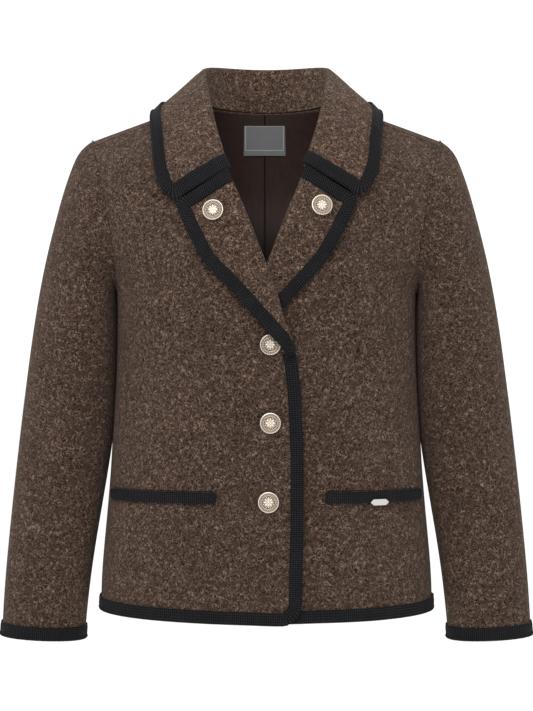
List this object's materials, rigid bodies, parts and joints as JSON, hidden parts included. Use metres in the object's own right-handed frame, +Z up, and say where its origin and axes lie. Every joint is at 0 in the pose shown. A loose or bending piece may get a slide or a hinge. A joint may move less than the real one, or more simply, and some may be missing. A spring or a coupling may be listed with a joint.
{
  "type": "wool jacket",
  "caption": "Hip-length boiled-wool jacket with notched collar, three buttons, two welt pockets and knitted braid binding, filled out as worn.",
  "frame": {"origin": "middle of the neck, level with the neck ends of the shoulders, where the wearer holds it up", "axes": "+Z up, -Y is the front, +X is the wearer's left"},
  "size_m": [0.6358, 0.259, 0.6933],
  "materials": {
    "wool": "matte",
    "collar_wool": "matte",
    "braid": "matte",
    "lining": "satin",
    "label": "satin",
    "button_metal": "satin",
    "plate_metal": "satin"
  },
  "bodies": {
    "root": {"back": "wool", "front_right": "wool", "front_left": "wool", "sleeve_right": "wool", "sleeve_left": "wool", "collar": "collar_wool", "lapel_right": "collar_wool", "lapel_left": "collar_wool", "lining_back": "lining", "label": "label", "binding_collar": "braid", "binding_lapel_right": "braid", "binding_lapel_left": "braid", "binding_front_right": "braid", "binding_front_left": "braid", "binding_back": "braid", "binding_cuff_right": "braid", "binding_cuff_left": "braid", "pocket_right": "braid", "pocket_left": "braid", "pocket_plate": "plate_metal", "button_1": "button_metal", "button_2": "button_metal", "button_3": "button_metal", "button_lapel_right": "button_metal", "button_lapel_left": "button_metal"}
  },
  "joints": []
}
